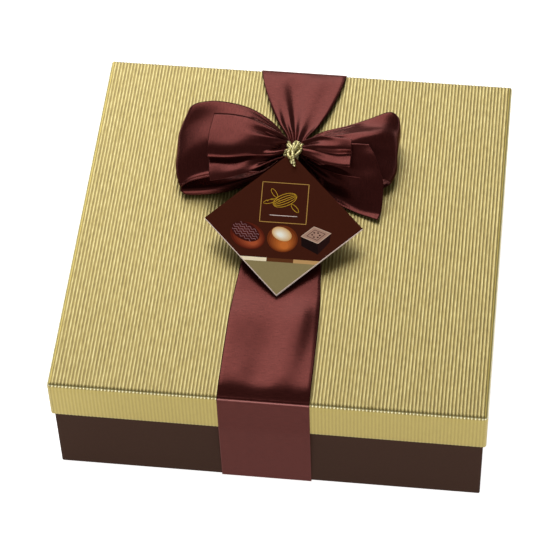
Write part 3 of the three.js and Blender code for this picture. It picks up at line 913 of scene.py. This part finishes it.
def gold_material(name, axis, start, pitch, contrast, stops):
    """Gold foil paper with painted shade in its grooves and painted highlights on its crests, which follow
    along an axis.
    """
    values = {"Roughness": 0.45, "Metallic": 0.7, "Coat Weight": 0.4, "Coat Roughness": 0.4}
    made = principled(name, values)
    per_metre = 2 * math.pi / (pitch * MM)
    angle = calc(made, "MULTIPLY_ADD", coordinate(made, axis), per_metre, -per_metre * start * MM)
    # Painted light on the flutes: a cosine across them, dark in the grooves where shade falls and light on
    # the crests; the foil noise breaks it into uneven dashes
    painted_flute_light = calc(made, "MULTIPLY", calc(made, "COSINE", angle), PAINTED_FLUTE_LIGHT_SHARE)
    foil = noise(made, position(made), (1300, 260, 420), 2)
    uneven = calc(made, "ADD", painted_flute_light, calc(made, "MULTIPLY_ADD", foil, FOIL_SHARE, -FOIL_SHARE / 2))
    share = calc(made, "MULTIPLY_ADD", uneven, contrast, 0.5)
    # Painted highlight: the colour is pushed up the ramp along the folds round the lid's top, for bright
    # dots of caught light
    share = calc(made, "MULTIPLY_ADD", crease(made, TOP - 0.55), 0.4, share)
    wire(made, ramp(made, share, stops), shader_of(made).inputs["Base Color"])
    bump(made, foil, 0.2, 0.1)
    return made


def thread_material():
    """Crumpled pale gold foil."""
    made = principled("gold thread", {"Roughness": 0.3, "Metallic": 0.6})
    creases = noise(made, position(made), (900, 900, 900), 2)
    colour = ramp(made, creases, [(0.35, (158, 144, 70)), (0.62, (236, 226, 168))])
    wire(made, colour, shader_of(made).inputs["Base Color"])
    bump(made, creases, 0.6, 0.2)
    return made


def paper_material(name, dark, light, roughness, scale=900.0, strength=0.1):
    """A plain printed or wrapped board, with a fine grain and slightly uneven colour."""
    made = principled(name, {"Roughness": roughness, "Specular IOR Level": 0.02})
    grain = noise(made, position(made), (scale, scale, scale), 4)
    wire(made, ramp(made, grain, [(0, dark), (1, light)]), shader_of(made).inputs["Base Color"])
    bump(made, grain, strength, 0.05)
    return made


def card_paints():
    """The card's board and inks, by name."""
    paints = {
        "card": paper_material("card print", (66, 27, 15), (72, 31, 18), 0.4),
        "card_edge": paper_material("card edge", (240, 214, 202), (250, 230, 218), 0.8),
        "khaki": paper_material("khaki print", (146, 130, 87), (154, 138, 95), 0.45),
        "cream": paper_material("cream print", (255, 236, 196), (255, 242, 208), 0.45),
        "brown": paper_material("brown print", (96, 52, 26), (104, 60, 32), 0.45),
        "tan": paper_material("tan print", (198, 154, 98), (208, 164, 108), 0.45),
    }
    inks = {
        "gold_line": (186, 142, 70),
        "motif": (216, 168, 46),
        "pale_line": (236, 214, 204),
        "dark": (58, 22, 20),
        "mauve": (160, 112, 114),
        "black": (22, 8, 7),
        "umber": (34, 13, 11),
        "taupe": (176, 138, 118),
        "pale_tan": (216, 184, 160),
    }
    for ink, colour in inks.items():
        lighter = [min(value + 10, 255) for value in colour]
        paints[ink] = paper_material(ink + " print", colour, lighter, 0.45)
    return paints


# Light and camera, in metres

EXPOSURE = 1.4
SKY = 0.14
FLOOR_HALF = 6
FLOOR_GLOW = 0.84
LIT_PLACE = (0, 0, 0.05)
PHOTO_WIDTH = 553
FOCAL_LENGTH = 2541.1  # in the photograph's pixels
SENSOR = 36
CAMERA_PLACE = (0.09341, -0.70929, 0.95048)
CAMERA_TURNS = ((8.028, "Z"), (37.745, "X"), (-2.16, "Z"))


def soft_light(name, place, size, power):
    """A square lamp that shines at the box."""
    lamp_data = bpy.data.lights.new(name, "AREA")
    lamp_data.shape = "SQUARE"
    lamp_data.size = size
    lamp_data.energy = power * EXPOSURE
    lamp = bpy.data.objects.new(name, lamp_data)
    bpy.context.scene.collection.objects.link(lamp)
    lamp.location = place
    lamp.rotation_mode = "QUATERNION"
    lamp.rotation_quaternion = (Vector(LIT_PLACE) - Vector(place)).to_track_quat("-Z", "Y")


def floor_plane():
    """A plain pale floor that glows a little, so that it stays white."""
    corners = [(x * FLOOR_HALF, y * FLOOR_HALF, 0) for x, y in ((-1, -1), (1, -1), (1, 1), (-1, 1))]
    mesh = bpy.data.meshes.new("floor")
    mesh.from_pydata(corners, [], [(0, 1, 2, 3)])
    floor = bpy.data.objects.new("floor", mesh)
    bpy.context.scene.collection.objects.link(floor)
    paint = paper_material("floor", (246, 246, 246), (250, 250, 250), 0.8, scale=5, strength=0)
    shader_of(paint).inputs["Emission Color"].default_value = (1, 1, 1, 1)
    shader_of(paint).inputs["Emission Strength"].default_value = FLOOR_GLOW
    mesh.materials.append(paint)


def studio():
    """A dim white sky, a large soft lamp at the back left, a small one low in front, and the floor."""
    scene = bpy.context.scene
    scene.view_settings.view_transform = "Standard"
    scene.world = bpy.data.worlds.new("soft white")
    scene.world.use_nodes = True
    sky = scene.world.node_tree.nodes["Background"]
    sky.inputs["Color"].default_value = (1, 1, 1, 1)
    sky.inputs["Strength"].default_value = SKY * EXPOSURE
    soft_light("back_left", (-0.48, 1.44, 1.41), size=1.6, power=25)
    soft_light("front_low", (0.1, -1.6, 0.55), size=0.8, power=7)
    floor_plane()


def camera():
    """The photograph's view of the box, from the front, above and a little to the right."""
    lens_data = bpy.data.cameras.new("camera")
    lens_data.sensor_width = SENSOR
    lens_data.lens = SENSOR * FOCAL_LENGTH / PHOTO_WIDTH
    lens_data.clip_start = 0.1
    lens_data.clip_end = 20
    eye = bpy.data.objects.new("camera", lens_data)
    bpy.context.scene.collection.objects.link(eye)
    turn = Matrix.Identity(4)
    for degrees, axis in CAMERA_TURNS:
        turn = turn @ Matrix.Rotation(math.radians(degrees), 4, axis)
    eye.rotation_mode = "QUATERNION"
    eye.location = CAMERA_PLACE
    eye.rotation_quaternion = turn.to_quaternion()
    bpy.context.scene.camera = eye


satin_cloth = satin_material()
gold_foil = thread_material()
printed_paints = card_paints()
# The lid's front and sides take the upright stops and weaker painted flute light than the top, to match
# how they are lit
lid(
    gold_material("gold paper", "X", 0, PITCH, 1.0, TOP_GOLD),
    gold_material("gold paper, front", "X", 0, PITCH, 0.35, UPRIGHT_GOLD),
    gold_material("gold paper, sides", "Z", SIDE_LOW, SIDE_PITCH, 0.35, UPRIGHT_GOLD),
)
base(paper_material("brown paper", (55, 37, 29), (61, 42, 33), 0.6))
band(satin_cloth)
bow(satin_cloth)
tie(gold_foil)
card(printed_paints)
studio()
camera()

bpy.context.view_layer.update()
